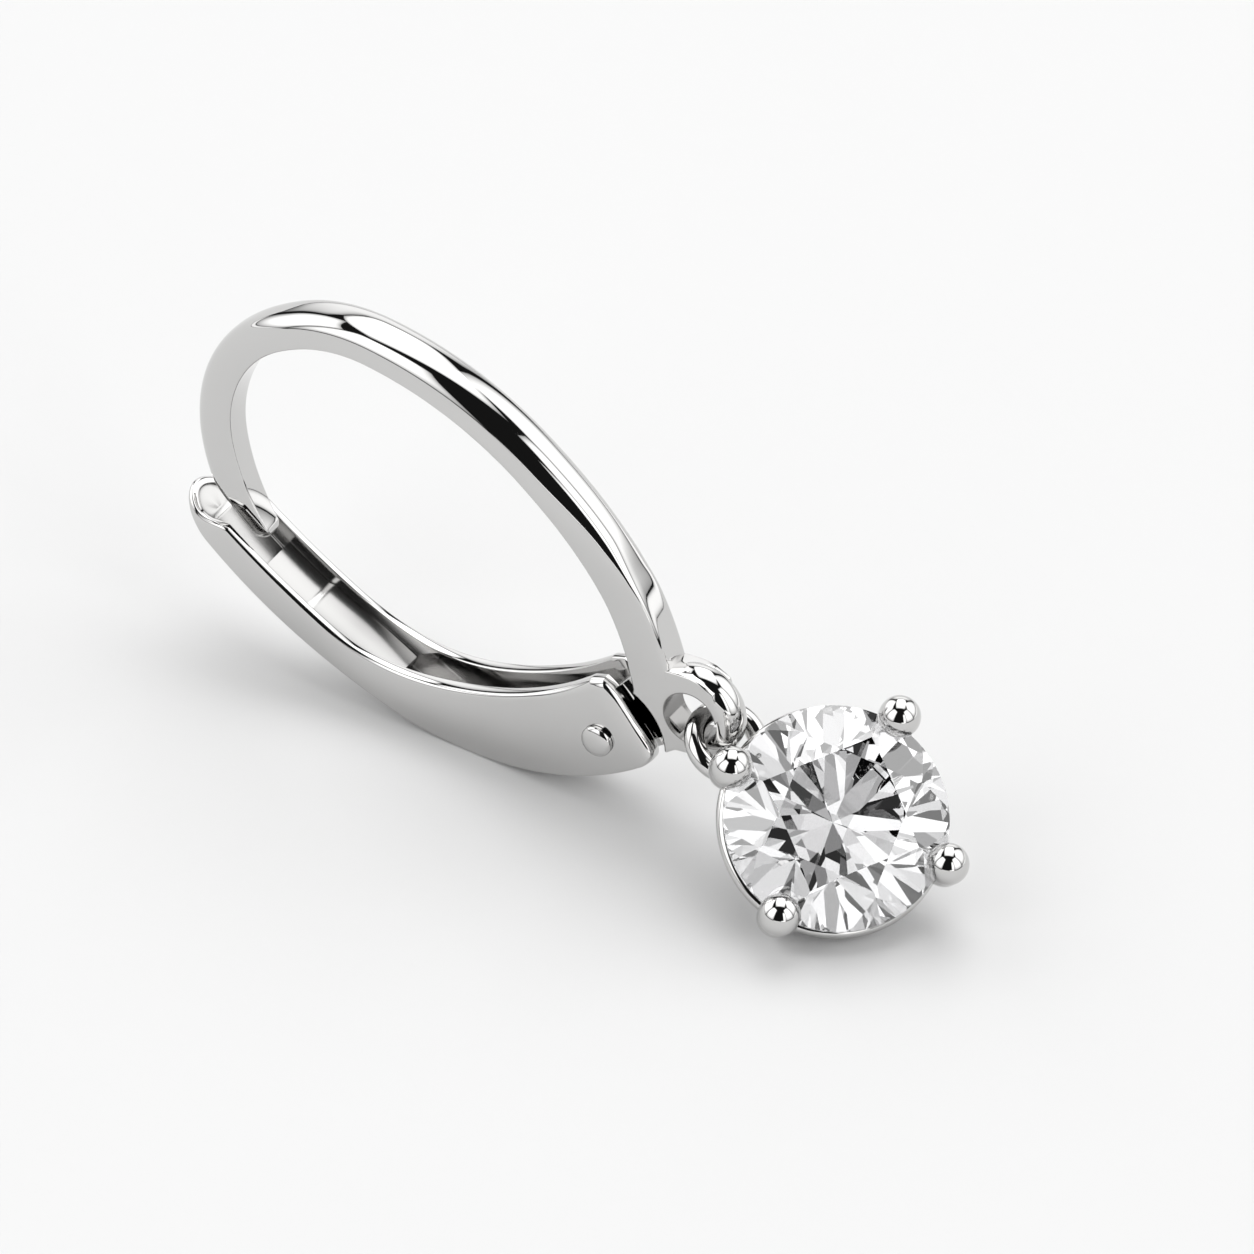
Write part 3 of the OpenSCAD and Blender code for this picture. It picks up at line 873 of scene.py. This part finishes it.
def buildSetting():
    sizes = setting["sizes"]
    tree, nodes, inputs = startTree("prongs and rails", sizes, ["Prong"])
    prong = nodes.add("GeometryNodeObjectInfo", {"transform_space": "ORIGINAL"},
                      Object=inputs["Prong"])
    turn = nodes.add("GeometryNodeInputNamedAttribute", {"data_type": "FLOAT"}, Name="turn")
    rotation = nodes.add("ShaderNodeCombineXYZ", None, Z=turn.outputs[0])
    asRotation = nodes.add("FunctionNodeEulerToRotation", None, Euler=rotation.outputs[0])
    prongs = nodes.add("GeometryNodeInstanceOnPoints", None, Points=inputs["Geometry"],
                       Instance=prong.outputs["Geometry"], Rotation=asRotation.outputs[0])
    rail, base = (wireRing(nodes, *(inputs[kind + size] for size in ("Radius", "Wire", "Height")))
                  for kind in ("Rail ", "Base "))
    place = setting["bail"]
    bail = wireRing(nodes, inputs["Bail Radius"], inputs["Bail Wire"], 0.0,
                    place["across"], place["around"])
    upright = nodes.add("GeometryNodeTransform", None, Geometry=bail,
                        Translation=(place["out"], 0, place["height"]),
                        Rotation=(math.radians(90), 0, 0))
    turned = nodes.add("GeometryNodeTransform", None, Geometry=upright.outputs[0],
                       Rotation=(0, 0, math.radians(place["angle"])))
    joined = nodes.add("GeometryNodeJoinGeometry")
    for part in (prongs.outputs[0], rail, base, turned.outputs[0]):
        nodes.tree.links.new(part, joined.inputs[0])
    endTree(nodes, inputs, joined.outputs[0])
    seed = rawMesh("seed", [(0, 0, 0)] * len(setting["angles"]), [])
    turns = seed.attributes.new("turn", "FLOAT", "POINT")
    turns.data.foreach_set("value", [math.radians(a) for a in setting["angles"]])
    source = rawObject("prong", prongMesh())
    values = dict(sizes, Prong=source, Material=metals["setting"])
    mesh = growMesh("setting", seed, tree, values)
    bpy.data.objects.remove(source)
    return mesh


settingPiece = finishPiece("setting_fine", buildSetting(), metals["setting"], "hook", "setting",
                           dropPlacing, weighted=False, angle=50)
print("setting made", len(settingPiece.data.polygons))


# stone
# sizes in millimetres, the table as a share of the radius, the facets' slopes in degrees
stone = {"radius": 3.25, "girdle": 0.14, "table": 0.56, "culet": 0.03, "around": 128, "blank": 8,
         "crown": 34.5, "pavilion": 41.0, "star": 21.0, "upperGirdle": 39.5, "lowerGirdle": 41.5,
         "crownRim": 40.7, "pavilionRim": 42.7, "mains": 8}


def buildStone():
    # a round blank cut by one plane for each facet
    radius, half = stone["radius"], stone["girdle"] / 2
    work = bmesh.new()
    bmesh.ops.create_cone(work, cap_ends=True, segments=stone["around"], radius1=radius,
                          radius2=radius, depth=stone["blank"])
    tableR = radius * stone["table"]
    tableZ = half + (radius - tableR) * math.tan(math.radians(stone["crown"]))
    culetZ = -half - (radius - stone["culet"]) * math.tan(math.radians(stone["pavilion"]))

    def facet(through, slope, azimuth, side):
        a, s = math.radians(azimuth), math.radians(slope)
        normal = Vector((math.sin(s) * math.cos(a), math.sin(s) * math.sin(a), side * math.cos(s)))
        everything = work.verts[:] + work.edges[:] + work.faces[:]
        result = bmesh.ops.bisect_plane(work, geom=everything, plane_co=through, plane_no=normal,
                                        clear_outer=True, dist=1e-7)
        edges = [e for e in result["geom_cut"] if isinstance(e, bmesh.types.BMEdge)]
        if edges:
            bmesh.ops.contextual_create(work, geom=edges)

    def atAngle(azimuth, reach, z):
        a = math.radians(azimuth)
        return Vector((reach * math.cos(a), reach * math.sin(a), z))

    def twoFacets(azimuth, above, below):
        # one over the girdle and one under it
        facet(atAngle(azimuth, radius, half), stone[above], azimuth, 1)
        facet(atAngle(azimuth, radius, -half), stone[below], azimuth, -1)
    facet(Vector((0, 0, tableZ)), 0, 0, 1)
    facet(Vector((0, 0, culetZ)), 0, 0, -1)
    mains = stone["mains"]
    step = 360 / mains
    for k in range(mains):
        twoFacets(step * k, "crown", "pavilion")
    starR = tableR * math.cos(math.radians(step / 2))
    for k in range(mains):
        facet(atAngle(step * (k + 0.5), starR, tableZ), stone["star"], step * (k + 0.5), 1)
        for side in (-step / 4, step / 4):
            twoFacets(step * k + side, "upperGirdle", "lowerGirdle")
    for k in range(4 * mains):
        twoFacets(step / 4 * (k + 0.5), "crownRim", "pavilionRim")
    bmesh.ops.remove_doubles(work, verts=work.verts, dist=1e-5)
    bmesh.ops.recalc_face_normals(work, faces=work.faces)
    return workMesh("stone", work)


stonePiece = finishPiece("stone_fine", buildStone(), gem, "hook", "stone",
                         dropPlacing, angle=1, weighted=False)
for face in stonePiece.data.polygons:
    face.use_smooth = False
print("stone made", len(stonePiece.data.polygons))


# camera
view = {
    # the picture's axes in the hook's own frame
    "right": (-0.7071, -0.5087, 0.4912), "toward": (0.0, 0.695, 0.719),
    # millimetres: the picture's centre from the pin, its width there, the camera's distance
    "aim": (0.377, 2.748), "frame": 35.52, "distance": 1500.0, "sensor": 36.0,
    "clip": (0.05, 50),  # metres
}


def standing(x, y, z, place):
    # a matrix from three axes and a place
    grid = Matrix((x, y, z)).transposed().to_4x4()
    grid.translation = place
    return grid


def addCamera():
    turn = placing.to_3x3().normalized()
    right, toward = turn @ Vector(view["right"]), turn @ Vector(view["toward"])
    toward.normalize()
    right = (right - toward * right.dot(toward)).normalized()
    up = toward.cross(right)
    aside = right * view["aim"][0] + up * view["aim"][1]
    aim = placing @ Vector((0, 0, 0)) + aside * rest["unit"]
    data = bpy.data.cameras.new("camera")
    data.sensor_width = view["sensor"]
    data.sensor_height = view["sensor"]
    data.lens = view["sensor"] * view["distance"] / view["frame"]
    data.clip_start, data.clip_end = view["clip"]
    camera = rawObject("camera", data)
    camera.matrix_world = standing(right, up, toward,
                                   aim + toward * view["distance"] * rest["unit"])
    bpy.context.scene.camera = camera
    return toward


cameraToward = addCamera()
cameraAzimuth = math.degrees(math.atan2(cameraToward[1], cameraToward[0]))
print("camera azimuth", round(cameraAzimuth, 2), "elevation",
      round(math.degrees(math.asin(cameraToward[2])), 2))


# floor and lights, in metres and degrees
studio = {
    "floor": 4.0, "floorColour": (0.7, 0.7, 0.7), "paperScale": 900, "paperShade": 0.995,
    # falloff: the share of its light that a panel loses at the middle of an edge
    "strength": 1.44, "falloff": 0.78,
    # panels stand round the object: azimuths of their two ends from the camera, elevations of
    # their two edges, radiance
    "panels": {"front left": (-76, -29, 3, 61, 1.6), "side left": (-152, -78, 4, 55, 1.6),
               "front right": (37, 82, 3, 62, 1.55), "inner right": (23, 37, 3, 48, 1.5),
               "side right": (83, 152, 8.5, 62, 1.5), "edge front": (-29, 10, 0.2, 2.6, 1.3),
               "edge inner": (10, 37, 0.2, 6, 1.3), "edge right": (82, 152, 0.2, 7.5, 1.1),
               "edge left": (-152, -78, 0.2, 3.5, 1.0), "back": (157, 203, 0.5, 31, 1.0)},
    "distance": 2.4,
    # a softbox overhead: height, as shares of it half width and the two ends away from the
    # camera, radiance
    "overhead": (2.4, 0.42, -0.12, 1.6, 2.2),
    # through the stone the room is a patchwork of lit and unlit panels, which gives it its fire
    "patchScale": 21.0,
    "patches": [(0.0, 0.02), (0.15, 0.05), (0.23, 0.28), (0.38, 0.65), (0.6, 1.0), (1.0, 1.6)],
    "ambient": (0.012, 0.012, 0.012, 1), "backdrop": (0.96, 0.96, 0.96, 1),
}


def floorMaterial():
    material, nodes, place = startMaterial("pale floor")
    colour = studio["floorColour"]
    paper = noise(nodes, place, Scale=studio["paperScale"], Detail=3)
    shade = mixColours(nodes, paper, (*colour, 1),
                       (*[c * studio["paperShade"] for c in colour], 1))
    shader = nodes.add("ShaderNodeBsdfPrincipled", None, Base_Color=shade, Roughness=0.9,
                       Specular_IOR_Level=0.0)
    nodes.add("ShaderNodeOutputMaterial", None, Surface=shader.outputs[0])
    return material


def addFloor():
    half = studio["floor"]
    corners = [(-half, -half, 0), (half, -half, 0), (half, half, 0), (-half, half, 0)]
    mesh = rawMesh("floor", corners, [(0, 1, 2, 3)])
    mesh.materials.append(floorMaterial())
    floor = rawObject("floor", mesh)


def addLight(name, corners, radiance):
    # a rectangular soft light from three of its corners: first, along its width, along its height
    first, across, along = (Vector(c) for c in corners)
    wide, high = across - first, along - first
    data = bpy.data.lights.new(name, "AREA")
    data.shape = "RECTANGLE"
    data.size, data.size_y = wide.length, high.length
    # watts over its area
    data.energy = studio["strength"] * radiance * math.pi * wide.length * high.length
    nodes = emptyTree(data)
    # brightest in the middle, falling off towards its edges
    spot = nodes.add("ShaderNodeNewGeometry").outputs["Parametric"]
    falls = []
    for out in list(nodes.add("ShaderNodeSeparateXYZ", None, Vector=spot).outputs)[:2]:
        aside = nodes.add("ShaderNodeMath", {"operation": "ABSOLUTE"}, i0=Wire(nodes, out) * 2 - 1)
        falls.append(1 - (Wire(nodes, aside.outputs[0]) ** 4) * studio["falloff"])
    lamp = nodes.add("ShaderNodeEmission", None, Color=falls[0] * falls[1])
    nodes.add("ShaderNodeOutputLight", None, Surface=lamp.outputs[0])
    light = rawObject(name, data)
    x, y = wide.normalized(), high.normalized()
    light.matrix_world = standing(x, y, x.cross(y), first + (wide + high) / 2)
    light.visible_camera = False
    light.visible_transmission = False


def addLights():
    def way(azimuth):
        a = math.radians(cameraAzimuth + azimuth)
        return Vector((math.cos(a), math.sin(a), 0))
    for name, (start, stop, low, high, radiance) in studio["panels"].items():
        away = studio["distance"]
        reach = away / math.cos(math.radians(stop - start) / 2)
        left, right = way(start) * reach, way(stop) * reach
        bottom, top = (Vector((0, 0, away * math.tan(math.radians(e)))) for e in (low, high))
        addLight(name, (left + bottom, right + bottom, left + top), radiance)
    height, half, near, far, radiance = studio["overhead"]
    ahead, side, up = way(180), way(90), Vector((0, 0, height))
    corners = [up + height * (end * ahead + edge * side)
               for end, edge in ((near, -half), (near, half), (far, -half))]
    addLight("overhead", corners, radiance)


def addWorld():
    world = bpy.data.worlds.new("studio")
    nodes = emptyTree(world)
    path = nodes.add("ShaderNodeLightPath").outputs
    way = nodes.add("ShaderNodeTexCoord").outputs["Generated"]
    patch = nodes.add("ShaderNodeTexVoronoi", None, Vector=way, Scale=studio["patchScale"])
    value = nodes.add("ShaderNodeSeparateColor", None, Color=patch.outputs["Color"]).outputs[0]
    room = nodes.add("ShaderNodeValToRGB", {"stops": studio["patches"]}, Fac=value).outputs[0]
    seen = mixColours(nodes, path["Is Transmission Ray"], studio["ambient"], room)
    dark = nodes.add("ShaderNodeBackground", None, Color=seen, Strength=1.0)
    pale = nodes.add("ShaderNodeBackground", None, Color=studio["backdrop"], Strength=1.0)
    both = nodes.add("ShaderNodeMixShader", None, i0=path["Is Camera Ray"], i1=dark.outputs[0],
                     i2=pale.outputs[0])
    nodes.add("ShaderNodeOutputWorld", None, Surface=both.outputs[0])
    bpy.context.scene.world = world


addFloor()
addWorld()
addLights()
bpy.context.scene.view_settings.view_transform = "Standard"
print("studio made")
